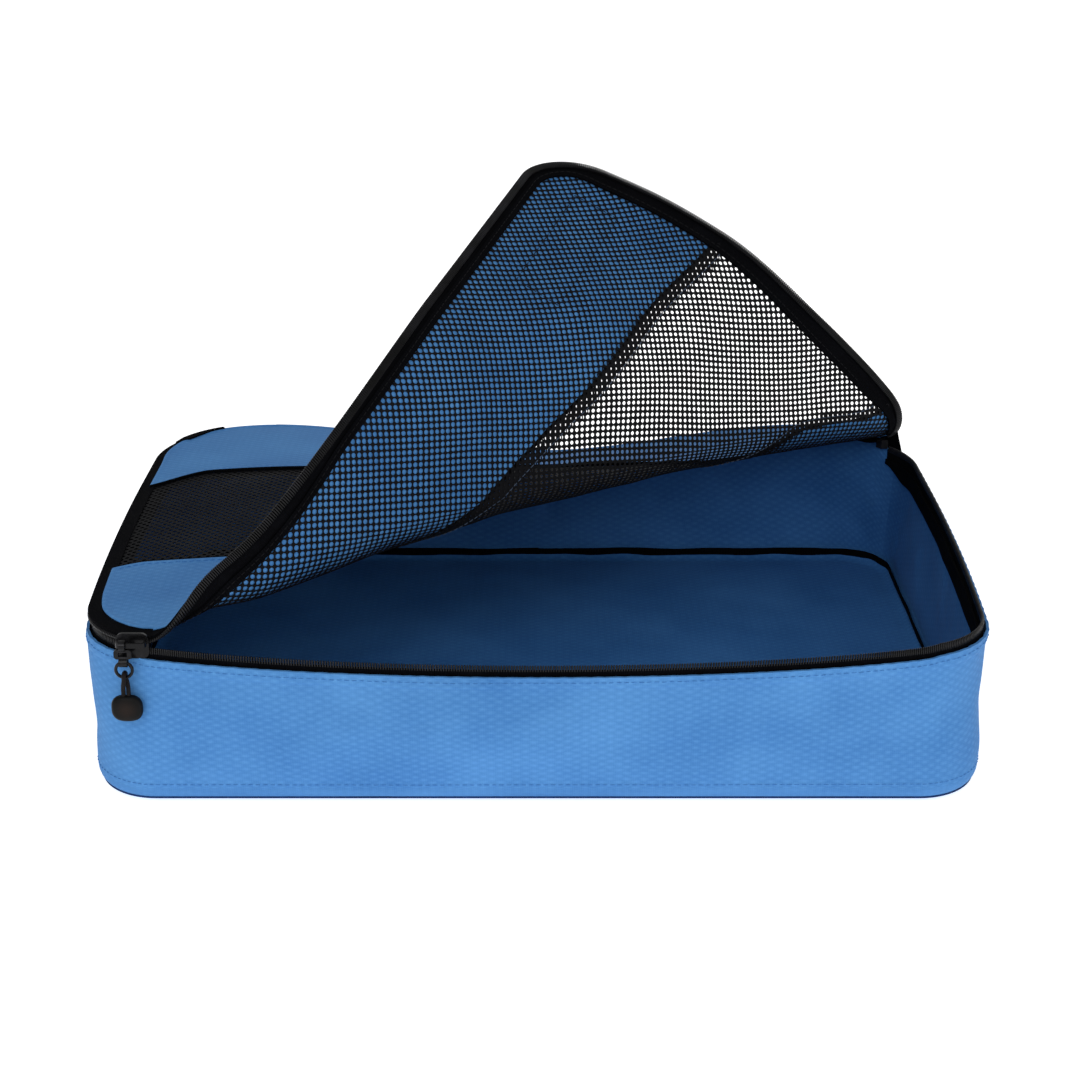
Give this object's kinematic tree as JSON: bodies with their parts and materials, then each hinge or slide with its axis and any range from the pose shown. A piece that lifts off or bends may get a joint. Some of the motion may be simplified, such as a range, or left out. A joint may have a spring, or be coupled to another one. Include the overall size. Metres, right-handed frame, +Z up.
{
  "type": "packing cube",
  "caption": "Soft rectangular packing cube in ripstop with a mesh window lid, a zipper round three sides with corded pull, and a corner of the lid folded open.",
  "frame": {"origin": "centre of the base's underside, on the surface it stands on", "axes": "+X along the front towards the right, +Y towards the hinge side at the back, +Z up"},
  "size_m": [0.457, 0.332, 0.2633],
  "materials": {
    "ripstop": "woven ripstop nylon with a soft sheen",
    "mesh": "knitted polyester net",
    "zipper_tape": "woven polyester tape",
    "binding": "folded grosgrain binding",
    "coil": "nylon monofilament coil",
    "label": "plain woven patch",
    "slider_metal": "black enamelled die-cast zinc",
    "cord": "braided nylon cord",
    "knob": "satin moulded plastic"
  },
  "bodies": {
    "bag_body": {"base_panel": "ripstop", "gusset_strip": "ripstop", "back_gusset": "ripstop", "base_seam_binding": "binding", "body_zipper_tape": "zipper_tape", "body_zipper_coil": "coil", "rim_binding": "binding", "zipper_stops": "coil", "zipper_end_tabs": "zipper_tape", "hinge_binding": "binding", "lid_mesh_still": "mesh", "lid_front_panel_still": "ripstop", "lid_rear_panel_still": "ripstop", "lid_front_seam_still": "mesh", "lid_rear_seam_still": "mesh", "lid_zipper_tape_still": "zipper_tape", "lid_zipper_coil_still": "coil", "lid_edge_binding_still": "binding"},
    "lid_fold": {"lid_mesh_fold": "mesh", "lid_front_panel_fold": "ripstop", "lid_rear_panel_fold": "ripstop", "lid_front_seam_fold": "mesh", "lid_rear_seam_fold": "mesh", "lid_zipper_tape_fold": "zipper_tape", "lid_zipper_coil_fold": "coil", "lid_edge_binding_fold": "binding"},
    "lid_flap": {"lid_mesh_flap": "mesh", "lid_front_panel_flap": "ripstop", "lid_front_seam_flap": "mesh", "lid_zipper_tape_flap": "zipper_tape", "lid_zipper_coil_flap": "coil", "lid_edge_binding_flap": "binding", "label_patch": "label"},
    "slider": {"slider_body": "slider_metal", "slider_bridge": "slider_metal"},
    "pull_tab": {"pull_tab": "slider_metal"},
    "pull_cord": {"pull_ring": "slider_metal", "pull_cord": "cord", "pull_knob": "knob"}
  },
  "joints": [
    {"name": "lid_roll", "type": "hinge", "parent": "bag_body", "child": "lid_fold", "pos_m": [-0.173, -0.16, 0.0954], "axis": [0.806, 0.5919, 0], "range_deg": [-10, 104]},
    {"name": "lid_bend", "type": "hinge", "parent": "lid_fold", "child": "lid_flap", "pos_m": [-0.08885, -0.07305, 0.18063], "axis": [0.7975, 0.6012, 0.0503], "range_deg": [-5, 44]},
    {"name": "slider_travel", "type": "slide", "parent": "bag_body", "child": "slider", "axis": [1, 0, 0], "range_m": [0, 0.375]},
    {"name": "tab_swing", "type": "hinge", "parent": "slider", "child": "pull_tab", "pos_m": [-0.1955, -0.1665, 0.0882], "axis": [1, 0, 0], "range_deg": [-150, 0]},
    {"name": "cord_swing", "type": "hinge", "parent": "pull_tab", "child": "pull_cord", "pos_m": [-0.1955, -0.1665, 0.0796], "axis": [1, 0, 0], "range_deg": [-90, 0]}
  ],
  "couplings": [
    {"joint": "lid_bend", "follows": "lid_roll", "ratio": 0.42308}
  ]
}
